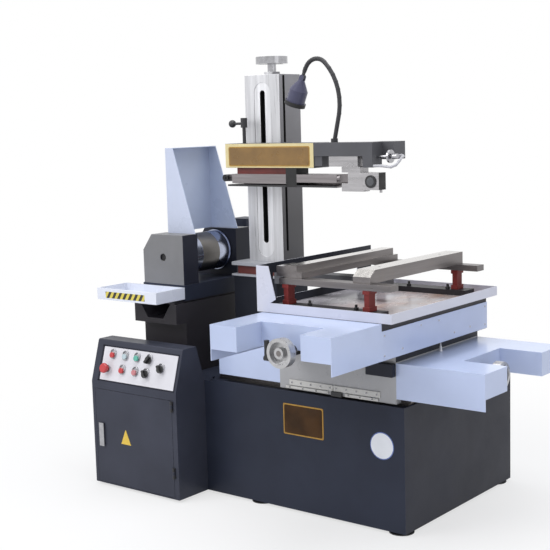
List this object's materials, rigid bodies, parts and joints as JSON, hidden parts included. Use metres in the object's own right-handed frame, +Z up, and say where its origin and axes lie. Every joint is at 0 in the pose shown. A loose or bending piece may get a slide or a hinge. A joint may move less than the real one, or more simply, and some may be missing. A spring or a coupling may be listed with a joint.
{
  "type": "wire electrical discharge machine",
  "caption": "Floor-standing wire cutting machine: cross table with water tray, column with tapering arm, wire drum on its carriage and an operating cabinet.",
  "frame": {"origin": "middle of the machine's footprint on the floor", "axes": "+X to the right along the front of the bed, +Y to the back, +Z up"},
  "size_m": [1.673, 1.187, 1.691],
  "materials": {
    "navy_paint": "semi-gloss machine enamel",
    "dark_paint": "satin machine enamel",
    "light_blue_paint": "gloss sheet enamel",
    "lavender_paint": "gloss sheet enamel",
    "tray_paint": "gloss sheet enamel",
    "grey_paint": "satin machine enamel",
    "post_red": "satin enamel",
    "ground_steel": "ground",
    "bright_chrome": "polished",
    "black_iron": "black oxide",
    "black_plastic": "satin",
    "lamp_paint": "gloss enamel",
    "white_panel": "satin",
    "red_plastic": "gloss",
    "green_plastic": "gloss"
  },
  "bodies": {
    "base": {"bed": "navy_paint", "foot_pads": "black_iron", "x_rails": "ground_steel", "drum_pedestal": "dark_paint", "column_base": "navy_paint", "column": "ground_steel", "lower_arm": "dark_paint", "cabinet_shell": "navy_paint", "control_panel": "white_panel", "door_hinges": "black_iron"},
    "middle": {"middle_slide": "grey_paint", "right_cover": "light_blue_paint", "left_cover": "light_blue_paint", "x_motor": "black_iron"},
    "x_wheel": {"x_handwheel": "bright_chrome", "x_screw": "ground_steel"},
    "table": {"table_slide": "dark_paint", "side_plates": "light_blue_paint", "front_cover": "light_blue_paint", "y_motor": "black_iron", "water_tray": "tray_paint", "work_posts": "post_red", "cross_bars": "ground_steel", "left_rail": "ground_steel", "right_rail": "ground_steel"},
    "y_wheel": {"y_handwheel": "bright_chrome", "y_screw": "ground_steel"},
    "crank": {"y_crank": "black_plastic"},
    "arm": {"arm_saddle": "dark_paint", "upper_beam": "ground_steel", "taper_box": "dark_paint", "gooseneck": "black_plastic", "coolant_pipe": "white_panel"},
    "lift": {"column_handwheel": "bright_chrome", "lift_screw": "ground_steel"},
    "rear_guide": {"rear_wheel": "black_plastic"},
    "clamp": {"clamp_lever": "black_iron"},
    "u_block": {"u_slide": "ground_steel"},
    "v_block": {"v_slide": "ground_steel"},
    "taper_knob": {"u_knob": "bright_chrome"},
    "upper_guide": {"upper_wheel": "black_plastic"},
    "lamp": {"lamp_head": "lamp_paint"},
    "lower_guide": {"lower_wheel": "black_plastic"},
    "drum_carriage": {"carriage_base": "navy_paint", "drip_tray": "lavender_paint", "front_housing": "grey_paint", "rear_housing": "grey_paint", "drum_motor": "navy_paint", "splash_hood": "lavender_paint"},
    "wire_drum": {"drum": "ground_steel"},
    "door": {"cabinet_door": "navy_paint"},
    "lock": {"door_lock": "ground_steel"},
    "red_push": {"red_button": "red_plastic"},
    "green_push": {"green_button": "green_plastic"},
    "feed_push": {"feed_button": "red_plastic"},
    "pump_push": {"pump_button": "red_plastic"},
    "estop_push": {"estop_button": "red_plastic"},
    "mode_turn": {"mode_selector": "black_plastic"},
    "speed_turn": {"speed_selector": "black_plastic"},
    "pump_turn": {"pump_selector": "black_plastic"}
  },
  "joints": [
    {"name": "x_travel", "type": "slide", "parent": "base", "child": "middle", "axis": [1, 0, 0], "range_m": [-0.175, 0.175]},
    {"name": "y_travel", "type": "slide", "parent": "middle", "child": "table", "axis": [0, 1, 0], "range_m": [-0.215, 0.235]},
    {"name": "x_handwheel_turn", "type": "hinge", "parent": "middle", "child": "x_wheel", "pos_m": [0.7535, 0.111, 0.54], "axis": [1, 0, 0], "range_deg": [-15760, 15760]},
    {"name": "y_handwheel_turn", "type": "hinge", "parent": "table", "child": "y_wheel", "pos_m": [0.276, -0.5415, 0.684], "axis": [0, 1, 0], "range_deg": [-19360, 21160]},
    {"name": "crank_fold", "type": "hinge", "parent": "y_wheel", "child": "crank", "pos_m": [0.2155, -0.5265, 0.66], "axis": [1, 0, 0], "range_deg": [0, 90]},
    {"name": "arm_height", "type": "slide", "parent": "base", "child": "arm", "axis": [0, 0, 1], "range_m": [-0.2, 0.2]},
    {"name": "column_handwheel_turn", "type": "hinge", "parent": "base", "child": "lift", "pos_m": [-0.291, 0.1805, 1.69], "axis": [0, 0, 1], "range_deg": [-14410, 14410]},
    {"name": "u_travel", "type": "slide", "parent": "arm", "child": "u_block", "axis": [1, 0, 0], "range_m": [-0.012, 0.012]},
    {"name": "v_travel", "type": "slide", "parent": "u_block", "child": "v_block", "axis": [0, 1, 0], "range_m": [-0.012, 0.012]},
    {"name": "taper_knob_turn", "type": "hinge", "parent": "arm", "child": "taper_knob", "pos_m": [0.3635, 0.046, 1.304], "axis": [1, 0, 0], "range_deg": [-4330, 4330]},
    {"name": "upper_wheel_turn", "type": "hinge", "parent": "v_block", "child": "upper_guide", "pos_m": [0.2795, 0.0685, 1.215], "axis": [0, 1, 0], "continuous": true},
    {"name": "rear_wheel_turn", "type": "hinge", "parent": "arm", "child": "rear_guide", "pos_m": [-0.4525, 0.0685, 1.219], "axis": [0, 1, 0], "continuous": true},
    {"name": "lower_wheel_turn", "type": "hinge", "parent": "base", "child": "lower_guide", "pos_m": [0.2795, 0.0685, 0.837], "axis": [0, 1, 0], "continuous": true},
    {"name": "arm_clamp_turn", "type": "hinge", "parent": "arm", "child": "clamp", "pos_m": [-0.3455, 0.0635, 1.433], "axis": [0, 0, 1], "range_deg": [-30, 60]},
    {"name": "lamp_tilt", "type": "hinge", "parent": "arm", "child": "lamp", "pos_m": [-0.03857, 0.046, 1.59942], "axis": [0, 1, 0], "range_deg": [-35, 45]},
    {"name": "drum_travel", "type": "slide", "parent": "base", "child": "drum_carriage", "axis": [0, 1, 0], "range_m": [-0.09, 0.09]},
    {"name": "drum_turn", "type": "hinge", "parent": "drum_carriage", "child": "wire_drum", "pos_m": [-0.6205, 0.0685, 0.912], "axis": [0, 1, 0], "continuous": true},
    {"name": "door_swing", "type": "hinge", "parent": "base", "child": "door", "pos_m": [-0.398, -0.3565, 0.2], "axis": [0, 0, 1], "range_deg": [0, 110]},
    {"name": "lock_turn", "type": "hinge", "parent": "door", "child": "lock", "pos_m": [-0.7855, -0.3515, 0.213], "axis": [0, 1, 0], "range_deg": [0, 90]},
    {"name": "red_press", "type": "slide", "parent": "base", "child": "red_push", "axis": [0, -0.9573, 0.289], "range_m": [-0.004, 0], "stiffness_N_per_m": 400, "springref_m": 0.001},
    {"name": "green_press", "type": "slide", "parent": "base", "child": "green_push", "axis": [0, -0.9573, 0.289], "range_m": [-0.004, 0], "stiffness_N_per_m": 400, "springref_m": 0.001},
    {"name": "feed_press", "type": "slide", "parent": "base", "child": "feed_push", "axis": [0, -0.9573, 0.289], "range_m": [-0.004, 0], "stiffness_N_per_m": 400, "springref_m": 0.001},
    {"name": "pump_press", "type": "slide", "parent": "base", "child": "pump_push", "axis": [0, -0.9573, 0.289], "range_m": [-0.004, 0], "stiffness_N_per_m": 400, "springref_m": 0.001},
    {"name": "estop_press", "type": "slide", "parent": "base", "child": "estop_push", "axis": [0, -0.9573, 0.289], "range_m": [-0.006, 0], "stiffness_N_per_m": 600, "springref_m": 0.001},
    {"name": "mode_select", "type": "hinge", "parent": "base", "child": "mode_turn", "pos_m": [-0.5365, -0.31913, 0.53422], "axis": [0, -0.9573, 0.289], "range_deg": [-45, 45]},
    {"name": "speed_select", "type": "hinge", "parent": "base", "child": "speed_turn", "pos_m": [-0.4675, -0.32751, 0.50646], "axis": [0, -0.9573, 0.289], "range_deg": [-45, 45]},
    {"name": "pump_select", "type": "hinge", "parent": "base", "child": "pump_turn", "pos_m": [-0.5425, -0.33532, 0.48061], "axis": [0, -0.9573, 0.289], "range_deg": [-45, 45]}
  ],
  "couplings": [
    {"joint": "x_handwheel_turn", "follows": "x_travel", "rad_per_m": 1570.8},
    {"joint": "y_handwheel_turn", "follows": "y_travel", "rad_per_m": 1570.8},
    {"joint": "column_handwheel_turn", "follows": "arm_height", "rad_per_m": 1256.6},
    {"joint": "taper_knob_turn", "follows": "u_travel", "rad_per_m": 6283.2}
  ]
}
